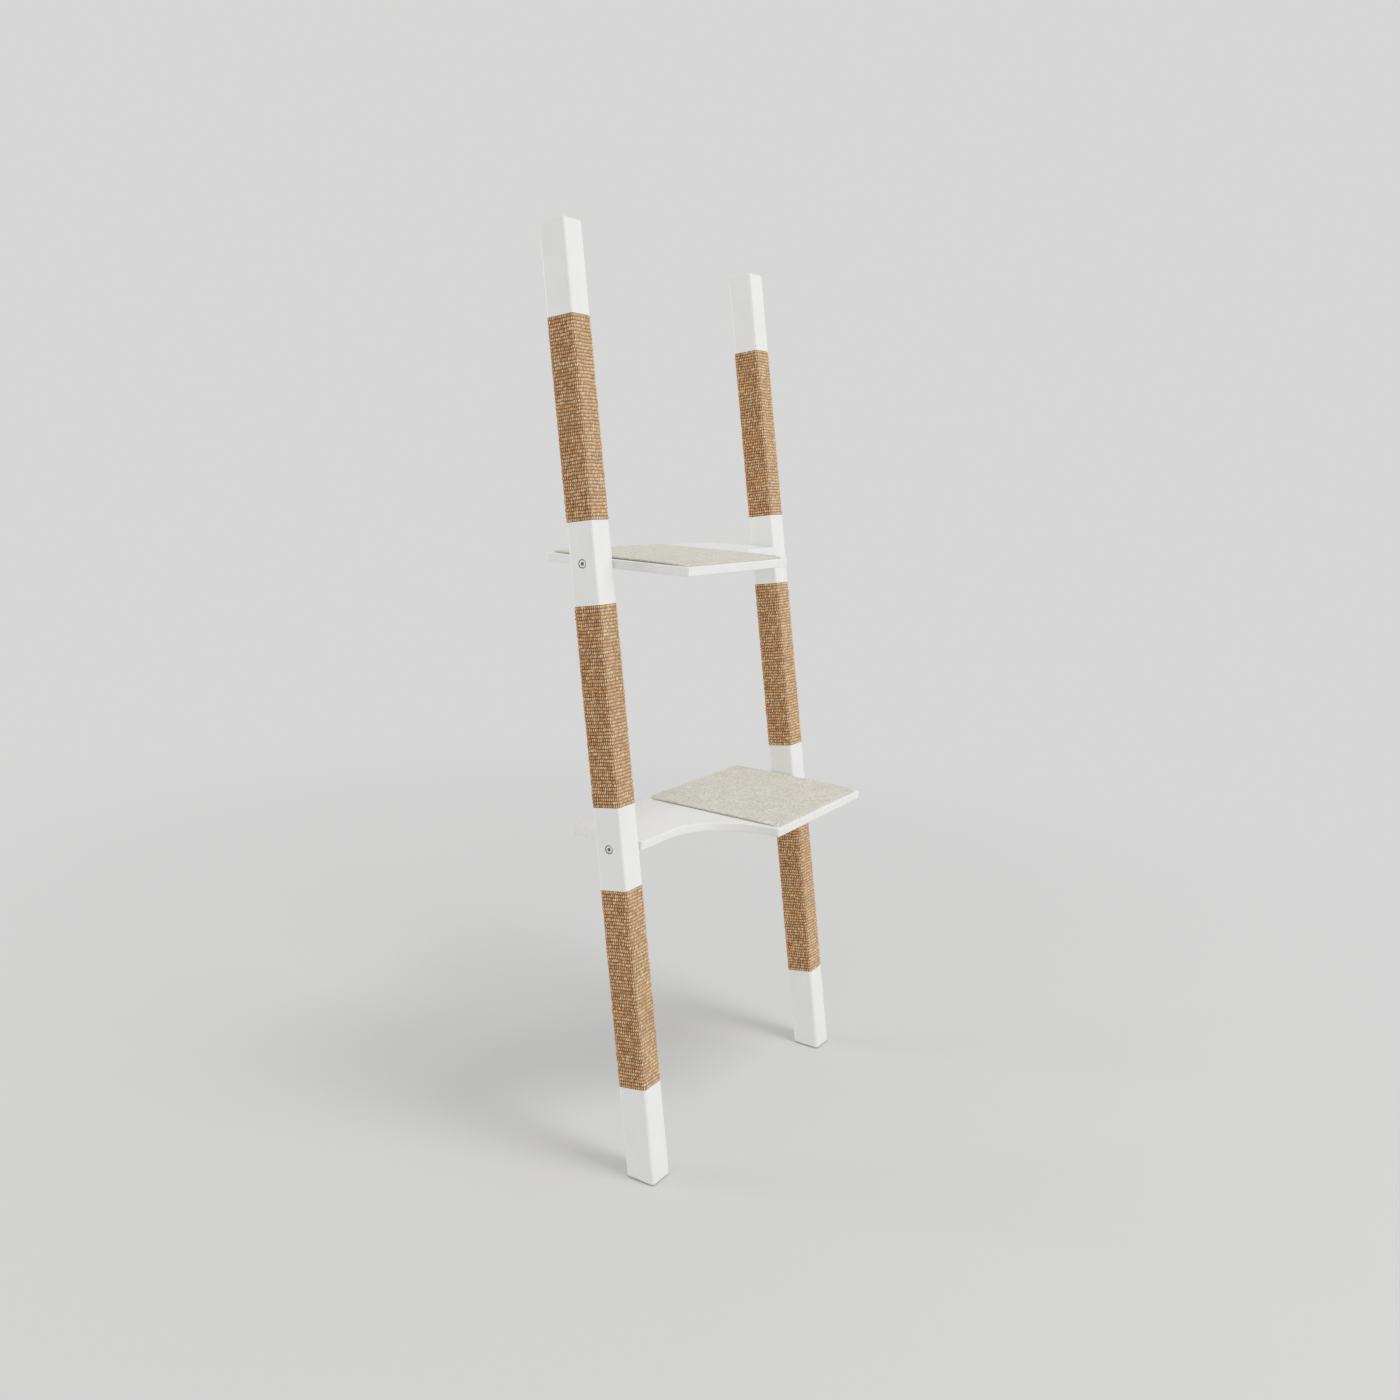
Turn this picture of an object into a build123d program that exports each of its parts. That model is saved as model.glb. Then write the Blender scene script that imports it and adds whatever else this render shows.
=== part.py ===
from build123d import *
import math
import os

# A cat scratching tree built as a leaning ladder: two square rails stand on the floor and rest
# against the wall, two shelves with felt mats are bolted between them, and carpet strips of woven
# sisal are wrapped round the rails.
# Lengths are in millimetres and angles in degrees. X runs along the wall, +Y points to the wall
# and +Z is up. The origin is on the floor, in the middle of the tree's width and depth.

# Stance
overall_height = 1600.0
lean_deg = 10.0
wall_gap = 1.5

# Rails
rail_side = 54.0
rail_edge_radius = 6.0
rail_end_radius = 1.6
clear_width = 600.0

# Foot pads
foot_pad_thickness = 2.0
foot_pad_inset = 4.0
foot_pad_corner_radius = 3.0

# Sisal wraps on each rail. They share what the bare ends and the shelf joints leave of it.
wrap_places = ("bottom", "middle", "top")
wrap_gap = 141.0
bare_end_length = 161.34
wrap_thickness = 4.0
wrap_proud = 0.6
wrap_seam = 1.2

# Shelves
shelf_thickness = 16.0
platform_overhang = 146.0
neck_overhang = 4.5
neck_length = 94.5
shelf_corner_radius = 5.0
shelf_arris_radius = 2.2

# Felt mats and the hook strips that hold them
mat_thickness = 3.0
mat_inset = 7.0
mat_corner_radius = 13.0
mat_arris_radius = 0.8
strip_thickness = 1.2
strip_width = 20.0
strip_inset = 16.0
strip_count = 3
strip_clearance = 0.3

# Shelf bolts, with a hexagon socket in a round head, and their washers
bolt_diameter = 8.0
bolt_length = 80.0
bolt_hole_clearance = 1.0
bolt_tip_chamfer = 1.0
bolt_tip_past_nut = 2.4
bolt_tip_room = 3.0
head_diameter = 13.0
head_height = 8.0
head_edge_radius = 0.8
head_recess = 0.4
socket_across_flats = 6.0
socket_depth = 4.0
washer_diameter = 15.0
washer_thickness = 1.6
washer_bore_clearance = 0.4
counterbore_clearance = 0.4

# Barrel nuts, let into the shelves from below
nut_diameter = 12.0
nut_cover = 1.5
nut_hole_clearance = 0.3
nut_thread_clearance = 0.1
nut_slot_width = 1.4
nut_slot_depth = 1.2

# Wooden dowels, one on each side of every bolt
dowel_diameter = 8.0
dowel_length = 30.0
dowel_spacing = 30.0
dowel_chamfer = 1.0
dowel_clearance = 0.1
dowel_end_room = 1.0

# Keyhole hangers in the wall ends of the rails
hanger_width = 18.0
hanger_thickness = 2.0
hanger_margin = 5.0
hanger_corner_radius = 3.0
hanger_clearance = 0.2
keyhole_diameter = 9.0
keyhole_slot_width = 4.6
keyhole_travel = 9.0
keyhole_pocket_margin = 1.0
keyhole_pocket_depth = 7.0
hanger_screw_diameter = 3.0
hanger_screw_length = 16.0
hanger_screw_head_diameter = 5.5
hanger_screw_setback = 4.0
hanger_screw_web = 1.25
hanger_screw_clearance = 0.1

# One overrun for every cut that runs out of a face
overrun = 1.0

# Worked out from the sizes above
lean = math.radians(lean_deg)
rail_length = overall_height / math.cos(lean)
rail_depth = rail_side / math.cos(lean)
hanger_screw_spacing = keyhole_travel + keyhole_diameter + hanger_screw_head_diameter + 2 * hanger_screw_web
hanger_height = hanger_screw_spacing + 2 * hanger_screw_setback
wall_face_height = hanger_height + 2 * hanger_margin
rail_top_fall = rail_depth * math.tan(lean)
wall_cut_z = overall_height - (wall_face_height + rail_top_fall) * math.cos(lean) ** 2
top_edge_loss = rail_end_radius * (math.cos(lean) + math.sin(lean) - 1)
rail_top = (overall_height / 2 + top_edge_loss) / math.cos(lean) - rail_side / 2 * math.tan(lean)
wrap_room = rail_length - 2 * bare_end_length - (len(wrap_places) - 1) * wrap_gap
wrap_length = wrap_room / len(wrap_places)
wrap_pitch = wrap_length + wrap_gap
upper_shelf_z = (rail_length + wrap_pitch) / 2 * math.cos(lean)
lower_shelf_z = (rail_length - wrap_pitch) / 2 * math.cos(lean)
back_overhang = (wall_cut_z - upper_shelf_z) * math.tan(lean) - wall_gap
overall_depth = (wall_cut_z - lower_shelf_z) * math.tan(lean) + rail_depth + platform_overhang
wall_y = overall_depth / 2
rail_x = (clear_width + rail_side) / 2
platform_length = clear_width - neck_length - (platform_overhang - neck_overhang)
bolt_seat = head_recess + head_height
bolt_tip = bolt_seat + bolt_length
nut_setback = bolt_tip - bolt_tip_past_nut - nut_diameter / 2 - rail_side
nut_length = shelf_thickness - 2 * nut_cover
shelf_heights = {"upper": upper_shelf_z, "lower": lower_shelf_z}
upward = (Align.CENTER, Align.CENTER, Align.MIN)


def rail_centre_y(z):
    """Y of a rail's centre line at height z."""
    return wall_y - (wall_cut_z - z) * math.tan(lean) - rail_depth / 2


def rail_location():
    """The left rail's own frame: Z runs up the rail, the origin is at the middle of its length."""
    middle = overall_height / 2
    return Location((-rail_x, rail_centre_y(middle), middle), (-lean_deg, 0, 0))


def joint_location(shelf_z):
    """A frame on the left rail's outer face at a bolt's axis. Its Z runs into the rail."""
    outer_face = -rail_x - rail_side / 2
    return Plane((outer_face, rail_centre_y(shelf_z), shelf_z), x_dir=(0, 1, 0), z_dir=(1, 0, 0)).location


def hanger_location():
    """A frame in the middle of the left rail's wall face. Its Z points to the wall."""
    middle = wall_cut_z + wall_face_height / 2
    return Plane((-rail_x, wall_y, middle), x_dir=(-1, 0, 0), z_dir=(0, 1, 0)).location


def rounded_bar(width, depth, radius, length):
    """A straight bar with rounded long edges, standing on Z = 0."""
    return extrude(RectangleRounded(width, depth, radius), amount=length)


def centred_bar(side, radius, length):
    """A square bar with rounded long edges, with its middle at the origin."""
    return Pos(0, 0, -length / 2) * rounded_bar(side, side, radius, length)


def rod(radius, start, end):
    """A round rod along Z from start to end."""
    return Pos(0, 0, start) * Cylinder(radius, end - start, align=upward)


def mirrored(shape):
    """The same shape on the right side of the tree."""
    return mirror(shape, about=Plane.YZ)


# Rails


def rail_blank():
    """A leaning square bar, square at its top, cut level at its foot and upright where it meets the wall."""
    bar_length = rail_length + rail_side
    bar = rounded_bar(rail_side, rail_side, rail_edge_radius, bar_length)
    bar = rail_location() * Pos(0, 0, rail_top - bar_length) * bar
    room_depth = 2 * overall_height
    room = Box(4 * rail_x, room_depth, overall_height, align=upward)
    blank = bar & Pos(0, wall_y - room_depth / 2, foot_pad_thickness) * room
    ends = blank.faces().sort_by(Axis.Z)
    return fillet(ends[0].edges() + ends[-1].edges(), rail_end_radius)


def wrap_middles():
    """Places of the wraps' middles along the rail, from its own middle."""
    lowest = -(len(wrap_places) - 1) / 2 * wrap_pitch
    return {place: lowest + index * wrap_pitch for index, place in enumerate(wrap_places)}


def core_side():
    """Side of the thinner core under a wrap."""
    return rail_side - 2 * (wrap_thickness - wrap_proud)


def core_radius():
    """Edge radius of that core, which keeps the wrap the same thickness round the corner."""
    return max(rail_edge_radius + wrap_proud - wrap_thickness, wrap_proud)


def wrap_recess(middle):
    """What is taken off the rail where a wrap lies."""
    sleeve = Box(2 * rail_side, 2 * rail_side, wrap_length)
    sleeve -= centred_bar(core_side(), core_radius(), wrap_length)
    return rail_location() * Pos(0, 0, middle) * sleeve


def bolt_passage(shelf_z):
    """Counterbore and through hole for a bolt, and the two blind dowel holes beside it."""
    seat = bolt_seat + washer_thickness
    hole = rod((max(washer_diameter, head_diameter) + counterbore_clearance) / 2, -overrun, seat)
    hole += rod((bolt_diameter + bolt_hole_clearance) / 2, seat, rail_side + overrun)
    deep = dowel_length / 2 + dowel_end_room
    for side in (-1, 1):
        bore = rod((dowel_diameter + dowel_clearance) / 2, rail_side - deep, rail_side + overrun)
        hole += Pos(side * dowel_spacing / 2, 0, 0) * bore
    return joint_location(shelf_z) * hole


def hanger_recess():
    """Shallow seat for the hanger, a pocket for the wall screw's head, and two screw holes."""
    seat = RectangleRounded(
        hanger_width + hanger_clearance, hanger_height + hanger_clearance, hanger_corner_radius
    )
    recess = Pos(0, 0, -hanger_thickness) * extrude(seat, amount=hanger_thickness + overrun)
    pocket_width = keyhole_diameter + 2 * keyhole_pocket_margin
    pocket = SlotCenterToCenter(keyhole_travel, pocket_width, rotation=90)
    recess += Pos(0, 0, -keyhole_pocket_depth) * extrude(pocket, amount=keyhole_pocket_depth)
    screw_hole = (hanger_screw_diameter + hanger_screw_clearance) / 2
    for side in (-1, 1):
        hole = rod(screw_hole, -hanger_screw_length - overrun, 0)
        recess += Pos(0, side * hanger_screw_spacing / 2, 0) * hole
    return hanger_location() * recess


def left_rail():
    rail = rail_blank()
    for middle in wrap_middles().values():
        rail -= wrap_recess(middle)
    for shelf_z in shelf_heights.values():
        rail -= bolt_passage(shelf_z)
    return rail - hanger_recess()


# Wraps


def left_wrap(middle):
    """One strip of sisal carpet round the rail, with its butt seam along the middle of the back."""
    outer_side = rail_side + 2 * wrap_proud
    outer = centred_bar(outer_side, core_radius() + wrap_thickness, wrap_length)
    inner = centred_bar(core_side(), core_radius(), wrap_length)
    seam = Pos(0, outer_side / 2, 0) * Box(wrap_seam, 2 * wrap_thickness + wrap_proud, wrap_length)
    return rail_location() * Pos(0, 0, middle) * (outer - inner - seam)


# Foot pads


def left_foot_pad():
    pad = rounded_bar(
        rail_side - 2 * foot_pad_inset,
        rail_depth - 2 * foot_pad_inset,
        foot_pad_corner_radius,
        foot_pad_thickness,
    )
    return Pos(-rail_x, rail_centre_y(foot_pad_thickness), 0) * pad


# Shelves


def shelf_edges_y():
    """Back edge, neck front and platform front of a shelf, from the rails' centre line."""
    half = rail_depth / 2
    return half + back_overhang, -half - neck_overhang, -half - platform_overhang


def shelf_outline():
    """The lower shelf seen from above: platform on the right, neck on the left."""
    back, neck, front = shelf_edges_y()
    end = clear_width / 2
    platform_side = end - platform_length
    sweep = neck - front
    start = (platform_side, front)
    stop = (platform_side - sweep, neck)
    middle = (stop[0] + sweep * math.sin(math.pi / 4), front + sweep * math.cos(math.pi / 4))
    edges = [
        Line(stop, (-end, neck)),
        Line((-end, neck), (-end, back)),
        Line((-end, back), (end, back)),
        Line((end, back), (end, front)),
        Line((end, front), start),
        ThreePointArc(start, middle, stop),
    ]
    return make_face(edges)


def shelf_joint_bores():
    """Holes in the shelf's left end for the bolt, its barrel nut and the two dowels."""
    end = -clear_width / 2
    middle = shelf_thickness / 2
    reach = bolt_tip - rail_side + bolt_tip_room
    into_shelf = Plane((end, 0, middle), x_dir=(0, 1, 0), z_dir=(1, 0, 0)).location
    bores = into_shelf * rod((bolt_diameter + bolt_hole_clearance) / 2, -overrun, reach)
    for side in (-1, 1):
        bore = rod((dowel_diameter + dowel_clearance) / 2, -overrun, dowel_length / 2 + dowel_end_room)
        bores += into_shelf * Pos(side * dowel_spacing / 2, 0, 0) * bore
    nut_hole = rod((nut_diameter + nut_hole_clearance) / 2, -overrun, middle + nut_length / 2)
    return bores + Pos(end + nut_setback, 0, 0) * nut_hole


def shelf_board():
    """The lower shelf with its underside on Z = 0."""
    board = extrude(shelf_outline(), amount=shelf_thickness)
    corners = board.edges().filter_by(Axis.Z)
    board = fillet(corners.filter_by(lambda edge: sharp_corner(edge)), shelf_corner_radius)
    faces = board.faces().sort_by(Axis.Z)
    board = fillet(faces[0].edges() + faces[-1].edges(), shelf_arris_radius)
    bores = shelf_joint_bores()
    return board - bores - mirrored(bores)


def sharp_corner(edge):
    """True for every upright edge but the one where the curved cut runs smoothly into the neck."""
    back, neck, front = shelf_edges_y()
    smooth_x = clear_width / 2 - platform_length - (neck - front)
    centre = edge.center()
    return abs(centre.X - smooth_x) > overrun or abs(centre.Y - neck) > overrun


def placed_on_shelf(level, shape):
    """A shape drawn for the lower shelf, put on either one. The upper one is the mirror image."""
    height = shelf_heights[level]
    side = shape if level == "lower" else mirrored(shape)
    return Pos(0, rail_centre_y(height), height - shelf_thickness / 2) * side


# Mats


def mat_size():
    """Length and width of a felt mat, and the place of its middle on the lower shelf."""
    back, neck, front = shelf_edges_y()
    length = platform_length - 2 * mat_inset
    width = back - front - 2 * mat_inset
    return length, width, (clear_width / 2 - platform_length / 2, (back + front) / 2)


def felt_mat():
    """A mat that lies flat on its shelf, with its felt pressed in over the hook strips."""
    length, width, middle = mat_size()
    mat = rounded_bar(length, width, mat_corner_radius, mat_thickness)
    faces = mat.faces().sort_by(Axis.Z)
    mat = fillet(faces[0].edges() + faces[-1].edges(), mat_arris_radius)
    mat = Pos(middle[0], middle[1], shelf_thickness) * mat
    for hollow in hook_strips(strip_clearance):
        mat -= hollow
    return mat


def hook_strips(clearance):
    """Self-adhesive hook strips under a mat, evenly spread from its front to its back."""
    length, width, middle = mat_size()
    spread = width - 2 * strip_inset - strip_width
    strips = []
    for index in range(strip_count):
        share = index / max(strip_count - 1, 1) - (1 if strip_count > 1 else 0) / 2
        strip_length = length - 2 * strip_inset + 2 * clearance
        strip = Box(strip_length, strip_width + 2 * clearance, strip_thickness, align=upward)
        strips.append(Pos(middle[0], middle[1] + share * spread, shelf_thickness) * strip)
    return strips


# Fasteners of one joint, in the frame of joint_location


def shelf_bolt():
    head = rod(head_diameter / 2, head_recess, bolt_seat)
    head = fillet(head.faces().sort_by(Axis.Z)[0].edges(), head_edge_radius)
    socket = Pos(0, 0, head_recess) * extrude(
        RegularPolygon(socket_across_flats / 2, 6, major_radius=False), amount=socket_depth
    )
    shank = rod(bolt_diameter / 2, bolt_seat, bolt_tip)
    shank = chamfer(shank.faces().sort_by(Axis.Z)[-1].edges(), bolt_tip_chamfer)
    return head - socket + shank


def bolt_washer():
    end = bolt_seat + washer_thickness
    outer = rod(washer_diameter / 2, bolt_seat, end)
    return outer - rod((bolt_diameter + washer_bore_clearance) / 2, bolt_seat, end)


def barrel_nut():
    """A round nut that lies across the bolt, slotted on its lower end to turn it in line."""
    nut = Rot(0, 90, 0) * Cylinder(nut_diameter / 2, nut_length)
    nut -= Cylinder((bolt_diameter + nut_thread_clearance) / 2, 2 * nut_diameter)
    # The joint's frame has its X along the tree's Y and its Y along the tree's Z.
    nut = Rot(0, 0, 90) * nut
    slot = Box(nut_slot_width, 2 * nut_slot_depth, 2 * nut_diameter)
    nut -= Pos(0, -nut_length / 2, 0) * slot
    return Pos(0, 0, rail_side + nut_setback) * nut


def dowel_pair():
    pair = []
    for side in (-1, 1):
        dowel = rod(dowel_diameter / 2, rail_side - dowel_length / 2, rail_side + dowel_length / 2)
        faces = dowel.faces().sort_by(Axis.Z)
        dowel = chamfer(faces[0].edges() + faces[-1].edges(), dowel_chamfer)
        pair.append(Pos(side * dowel_spacing / 2, 0, 0) * dowel)
    return pair


def at_every_joint(shapes):
    """The shapes of one joint at all four: both shelves, left and right."""
    placed = []
    for shelf_z in shelf_heights.values():
        for shape in shapes:
            left = joint_location(shelf_z) * shape
            placed += [left, mirrored(left)]
    return Compound(children=placed)


# Wall hangers


def left_hanger():
    """A keyhole plate, flush with the rail's wall face. The screw's head enters below and drops up."""
    outline = RectangleRounded(hanger_width, hanger_height, hanger_corner_radius)
    slot = SlotCenterToCenter(keyhole_travel, keyhole_slot_width, rotation=90)
    entry = Pos(0, -keyhole_travel / 2) * Circle(keyhole_diameter / 2)
    plate = Pos(0, 0, -hanger_thickness) * extrude(outline - slot - entry, amount=hanger_thickness)
    for side in (-1, 1):
        plate -= Pos(0, side * hanger_screw_spacing / 2, 0) * screw_shape(hanger_screw_clearance)
    return hanger_location() * plate


def screw_shape(clearance):
    """A countersunk screw with its flat head at Z = 0 and its tip below."""
    head_radius = (hanger_screw_head_diameter + clearance) / 2
    shank_radius = (hanger_screw_diameter + clearance) / 2
    cone_height = head_radius - shank_radius
    cone = Pos(0, 0, -cone_height) * Cone(shank_radius, head_radius, cone_height, align=upward)
    return cone + rod(shank_radius, -hanger_screw_length, -cone_height)


def hanger_screws():
    placed = []
    for side in (-1, 1):
        screw = Pos(0, side * hanger_screw_spacing / 2, 0) * screw_shape(0)
        left = hanger_location() * screw
        placed += [left, mirrored(left)]
    return Compound(children=placed)


def build_nodes():
    """Every piece of the tree under its name."""
    rail = left_rail()
    pad = left_foot_pad()
    hanger = left_hanger()
    board = shelf_board()
    nodes = {
        "left_rail": rail,
        "right_rail": mirrored(rail),
        "left_foot_pad": pad,
        "right_foot_pad": mirrored(pad),
        "left_wall_hanger": hanger,
        "right_wall_hanger": mirrored(hanger),
        "hanger_screws": hanger_screws(),
        "shelf_bolts": at_every_joint([shelf_bolt()]),
        "bolt_washers": at_every_joint([bolt_washer()]),
        "barrel_nuts": at_every_joint([barrel_nut()]),
        "dowels": at_every_joint(dowel_pair()),
    }
    for place, middle in wrap_middles().items():
        wrap = left_wrap(middle)
        nodes["left_wrap_" + place] = wrap
        nodes["right_wrap_" + place] = mirrored(wrap)
    for level in shelf_heights:
        nodes[level + "_shelf"] = placed_on_shelf(level, board)
        nodes[level + "_mat"] = placed_on_shelf(level, felt_mat())
        nodes[level + "_mat_strips"] = placed_on_shelf(level, Compound(children=hook_strips(0)))
    return nodes


def main():
    os.makedirs("parts", exist_ok=True)
    for name, shape in build_nodes().items():
        export_step(shape, os.path.join("parts", name + ".step"))
    print("overall depth %.2f, wall at y %.2f" % (overall_depth, wall_y))
    for level, height in shelf_heights.items():
        print("%s shelf middle z %.2f, rails' centre line y %.2f" % (level, height, rail_centre_y(height)))


main()
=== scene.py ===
import math

import bpy
import numpy as np
from mathutils import Matrix, Vector


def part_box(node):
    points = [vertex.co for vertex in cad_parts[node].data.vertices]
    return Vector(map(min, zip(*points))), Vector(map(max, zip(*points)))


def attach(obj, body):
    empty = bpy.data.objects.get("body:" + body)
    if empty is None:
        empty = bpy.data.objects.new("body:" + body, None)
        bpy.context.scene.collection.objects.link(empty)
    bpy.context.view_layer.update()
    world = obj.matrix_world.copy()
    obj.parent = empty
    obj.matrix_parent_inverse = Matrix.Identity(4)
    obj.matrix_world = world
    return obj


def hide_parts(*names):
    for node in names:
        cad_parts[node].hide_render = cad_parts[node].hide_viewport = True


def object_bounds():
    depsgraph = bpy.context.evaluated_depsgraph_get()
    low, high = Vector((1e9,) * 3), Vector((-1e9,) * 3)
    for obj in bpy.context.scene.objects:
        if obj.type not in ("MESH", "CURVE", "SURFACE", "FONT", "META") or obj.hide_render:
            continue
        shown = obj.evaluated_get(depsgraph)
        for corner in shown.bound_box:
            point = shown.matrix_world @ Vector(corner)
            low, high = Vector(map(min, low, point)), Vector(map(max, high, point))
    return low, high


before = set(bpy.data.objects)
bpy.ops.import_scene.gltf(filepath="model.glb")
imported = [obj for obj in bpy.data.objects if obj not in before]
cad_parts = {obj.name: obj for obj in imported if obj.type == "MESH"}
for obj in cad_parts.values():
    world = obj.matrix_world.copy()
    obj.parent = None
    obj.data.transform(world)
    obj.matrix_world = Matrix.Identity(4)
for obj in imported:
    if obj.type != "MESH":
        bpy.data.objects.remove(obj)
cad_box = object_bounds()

# A cat scratching tree that leans on a wall: white lacquered rails and shelves, strips of woven
# sisal round the rails and felt mats on the shelves. Lengths are in metres. X runs along the wall,
# +Y points to the wall and +Z is up.

MM = 0.001
SIDES = ("left", "right")
LEVELS = ("upper", "lower")

# Stands in for zero where something is divided by it
TINY = 1e-12

# The rails' lean, and a frame whose Z runs up a rail
LEAN = math.radians(10)
UP_THE_RAIL = Matrix.Rotation(-LEAN, 4, "X")

# The sisal strips: the corners of their rounded square section, their thickness and their seam
WRAP_PLACES = ("top", "middle", "bottom")
WRAP_CORNER = 6.6 * MM
WRAP_THICKNESS = 3.9 * MM
WRAP_SEAM = 1.2 * MM

# Their weave, in loops along each row, and the grid lines that draw a loop and a row
LOOP_PITCH = 4.1 * MM
ROW_PITCH = 5.9 * MM
LOOP_STEPS = 6
ROW_STEP_SHARES = (0.0, 0.19, 0.40, 0.60, 0.81)

# A loop: how far its top stands out of the strip's face, how deep it falls from there, how much of
# that it falls at its row's edges and at its own sides, how full it is, and its range of sizes
LOOP_RISE = 0.5 * MM
LOOP_RELIEF = 2.6 * MM
FALL_AT_ROW_EDGE = 0.95
FALL_AT_LOOP_SIDE = 0.85
LOOP_FULLNESS = 0.7
LOOP_SIZES = (0.8, 1.08)

# How uneven the loops and rows lie, in shares of a loop and of a row
LOOP_SHIFT_SHARE = 0.2
LOOP_SLANT_SHARE = 0.2
ROW_WOBBLE_SHARE = 0.08

# How far the painted shade of the gaps reaches in between rows and between loops, and the loops'
# shades
ROW_GAP_SHADE = (0.6, 1.6)
LOOP_GAP_SHADE = (0.6, 2.0)
LOWEST_TONE = 0.2
TONE_SPREAD = 0.6
TONE_RUN = 0.05
BACK_TONE = 0.5

# Slow drifts of the weave in its face and a slow swell out of it, as noise with so many cells
# round the rail and along it. The drifts grow from nothing at the seam and at the cut ends.
WEAVE_DRIFT = 0.7 * MM
DRIFT_ALONG_CELLS = (16, 30)
DRIFT_ACROSS_CELLS = (20, 24)
GROWTH_FROM_SEAM = 8
GROWTH_FROM_ENDS = 12
WEAVE_SWELL = 0.15 * MM
SWELL_CELLS = (9, 14)

# The felt mats: their corners, their rounded edges, and the grid lines that draw them
FELT_CORNER = 13 * MM
FELT_ARRIS = 0.8 * MM
FELT_STEP = 2 * MM
ARRIS_STEP_SHARES = (0, 0.12, 0.45, 1, 2)

# Their uneven face, with large and small clumps, and their uneven cut, as noise with so many cells
FELT_RELIEF = 0.14 * MM
LARGE_CLUMPS, LARGE_CLUMP_CELLS = 0.6, (60, 48)
SMALL_CLUMPS, SMALL_CLUMP_CELLS = 0.4, (150, 120)
FELT_CUT_DRIFT = 0.3 * MM
FELT_CUT_REACH = 8 * FELT_ARRIS
FELT_CUT_CELLS = (90, 70)

# Their two short edges lift off the board: from how far in, how high, and over what length at the
# corners that fades out
FELT_RIM = 14 * MM
FELT_RIM_LIFT = 1.1 * MM
FELT_RIM_FADE = 45 * MM

# The hook strips, which the mats' felt is pressed in over
STRIP_WIDTH = 20 * MM
STRIP_COUNT = 3
STRIP_ROOM = 0.3 * MM

# The bolts and what shows of their bores: how far from a bolt's axis and how deep the painted shade
# in their sockets and bores reaches
SOCKET_REACH = 3.5 * MM
SOCKET_DEPTH = 4.0 * MM
BORE_REACH = 7.9 * MM
SKIN = 0.03 * MM

# The stage. The floor turns into the plain background between two distances from the tree.
WHITE = (1, 1, 1, 1)
BACKDROP = (0.675, 0.675, 0.672, 1)
FLOOR_COLOUR = (0.70, 0.70, 0.696, 1)
FLOOR_RADIUS = 30.0
FLOOR_SIDES = 128
FLOOR_FADE = (0.9, 3.0)

# The light: its even part, and each square lamp's name, place, side and power in watts
AMBIENT = 0.66
LAMPS = (
    ("front_lamp", (0.3, -7.0, 1.9), 2.0, 103),
    ("side_lamp", (-3.4, 5.0, 1.5), 2.5, 72),
    ("top_lamp", (0.3, -3.5, 9.0), 3.0, 188),
)

# The camera: where the photographer stood, and the picture's size in pixels
CAMERA_PLACE = Vector((-2.10989, -1.15090, 1.22838))
CAMERA_YAW = math.radians(-57.18)
CAMERA_PITCH = math.radians(-8.21)
CAMERA_ROLL = math.radians(3.13)
FOCAL_PIXELS = 1290.45
AXIS_PIXEL = (622.96, 635.84)
PICTURE_SIDE = 1400
SENSOR = 36.0


# Building meshes


def new_piece(name, points, faces, material, smooth):
    """A mesh object. smooth says for each face whether it is shaded smooth."""
    mesh = bpy.data.meshes.new(name)
    mesh.from_pydata(points.tolist(), [], faces)
    mesh.polygons.foreach_set("use_smooth", smooth)
    mesh.materials.append(material)
    mesh.update()
    piece = bpy.data.objects.new(name, mesh)
    bpy.context.scene.collection.objects.link(piece)
    return piece


def store(piece, name, values):
    """Keeps one number for each point of a mesh, for its material to read."""
    attribute = piece.data.attributes.new(name, "FLOAT", "POINT")
    attribute.data.foreach_set("value", values.astype(np.float32))


def grid_faces(rows, columns, first=0, flip=False):
    """Quads of a grid of points that is stored row by row."""
    index = first + np.arange(rows * columns).reshape(rows, columns)
    corners = [index[:-1, :-1], index[:-1, 1:], index[1:, 1:], index[1:, :-1]]
    if flip:
        corners.reverse()
    return np.stack([c.ravel() for c in corners], axis=1).tolist()


def eased(share):
    """A share from 0 to 1 that starts and ends slowly."""
    return share * share * (3 - 2 * share)


def soft_noise(rng, along, across, cells_along, cells_across):
    """Smooth random heights from -1 to 1 over two shares from 0 to 1."""
    lattice = rng.uniform(-1, 1, (cells_along + 2, cells_across + 2))
    x, y = along * cells_along, across * cells_across
    i, j = np.floor(x).astype(int), np.floor(y).astype(int)
    u, v = eased(x - i), eased(y - j)
    low = lattice[i, j] * (1 - u) + lattice[i + 1, j] * u
    high = lattice[i, j + 1] * (1 - u) + lattice[i + 1, j + 1] * u
    return low * (1 - v) + high * v


# Sisal strips


def wrap_size(node):
    """Side of a strip's square section and its length along the rail, from its upright box."""
    low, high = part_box(node)
    side = high.x - low.x
    return side, (high.z - low.z - side * math.sin(LEAN)) / math.cos(LEAN)


def wrap_perimeter(side):
    """The way round the outside of a strip's rounded square section."""
    return 4 * (side - 2 * WRAP_CORNER) + 2 * math.pi * WRAP_CORNER


def wrap_section(side, along):
    """Points and outward directions of the rounded square, from the middle of its back round."""
    straight = side / 2 - WRAP_CORNER
    face = 2 * straight + WRAP_CORNER * math.pi / 2
    along = along + straight
    quarter = np.floor(along / face)
    rest = along - quarter * face
    angle = np.clip(rest - 2 * straight, 0, None) / WRAP_CORNER
    out = np.stack([np.sin(angle), np.cos(angle)])
    centre = np.stack([np.minimum(rest, 2 * straight) - straight, np.full_like(rest, straight)])
    place = centre + WRAP_CORNER * out
    turn = quarter * math.pi / 2
    cosine, sine = np.cos(turn), np.sin(turn)
    return [
        np.stack([cosine * x + sine * y, cosine * y - sine * x])
        for x, y in (place, out)
    ]


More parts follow.
